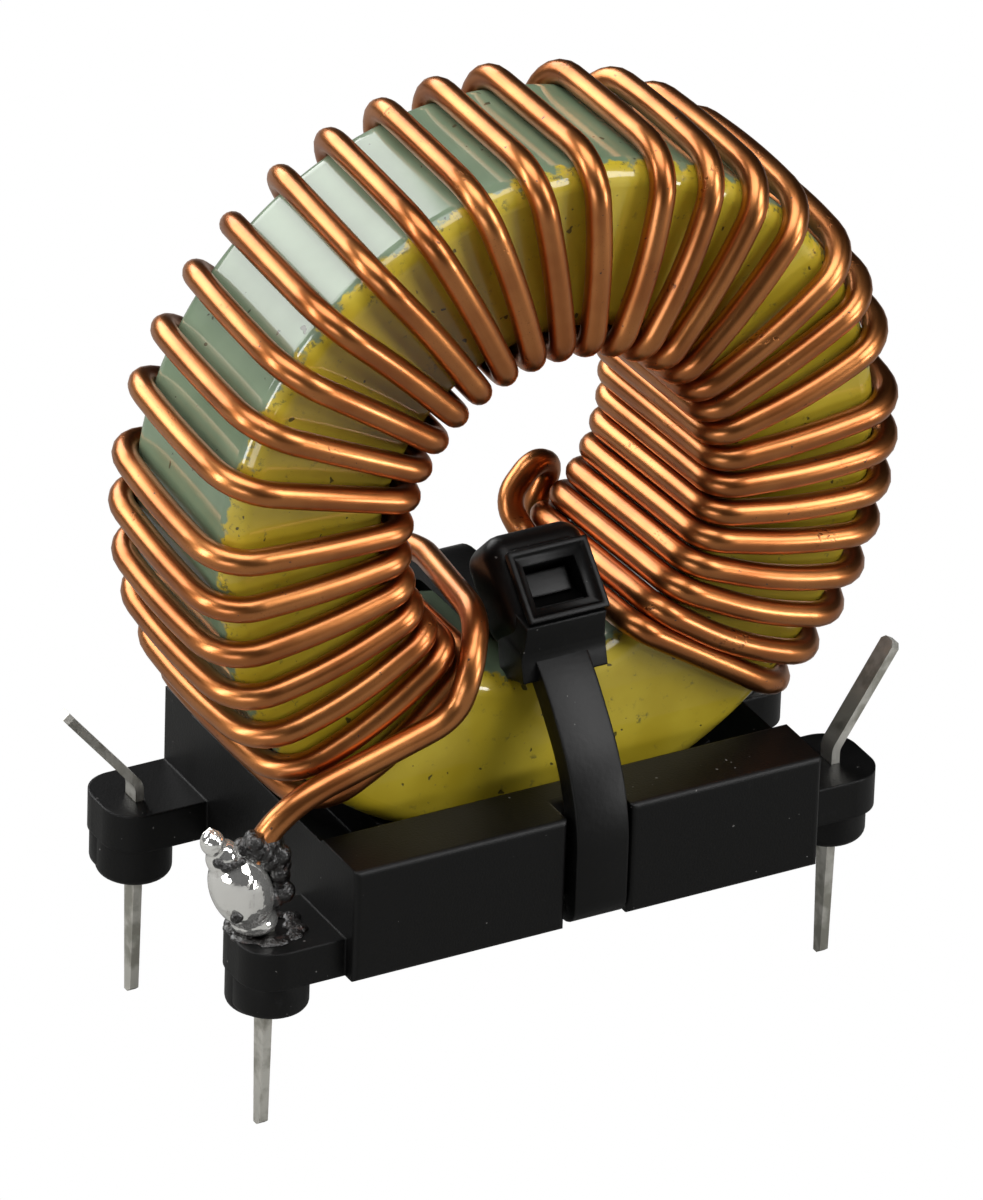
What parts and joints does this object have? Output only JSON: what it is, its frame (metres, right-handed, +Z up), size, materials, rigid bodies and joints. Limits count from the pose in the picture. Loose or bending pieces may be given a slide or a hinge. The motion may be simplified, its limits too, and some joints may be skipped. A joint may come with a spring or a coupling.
{
  "type": "toroidal inductor",
  "caption": "Upright toroidal choke: a painted powder ring wound with enamelled copper wire, tied to a black moulded base with solder pins.",
  "frame": {"origin": "on the circuit board's surface, under the middle of the ring and of the base's width", "axes": "+X along the base's long side, +Y from front to back along the ring's axis, +Z up away from the board"},
  "size_m": [0.0378, 0.02, 0.0448],
  "materials": {
    "core_paint": "gloss",
    "enamelled_copper": "gloss",
    "black_moulding": "satin",
    "black_nylon": "satin",
    "tinned_wire": "satin",
    "solder": "gloss"
  },
  "bodies": {
    "root": {"core": "core_paint", "winding": "enamelled_copper", "base": "black_moulding", "cable_tie": "black_nylon", "solder_front_left": "solder", "solder_back_right": "solder", "pin_front_left": "tinned_wire", "pin_back_left": "tinned_wire", "pin_front_right": "tinned_wire", "pin_back_right": "tinned_wire"}
  },
  "joints": []
}
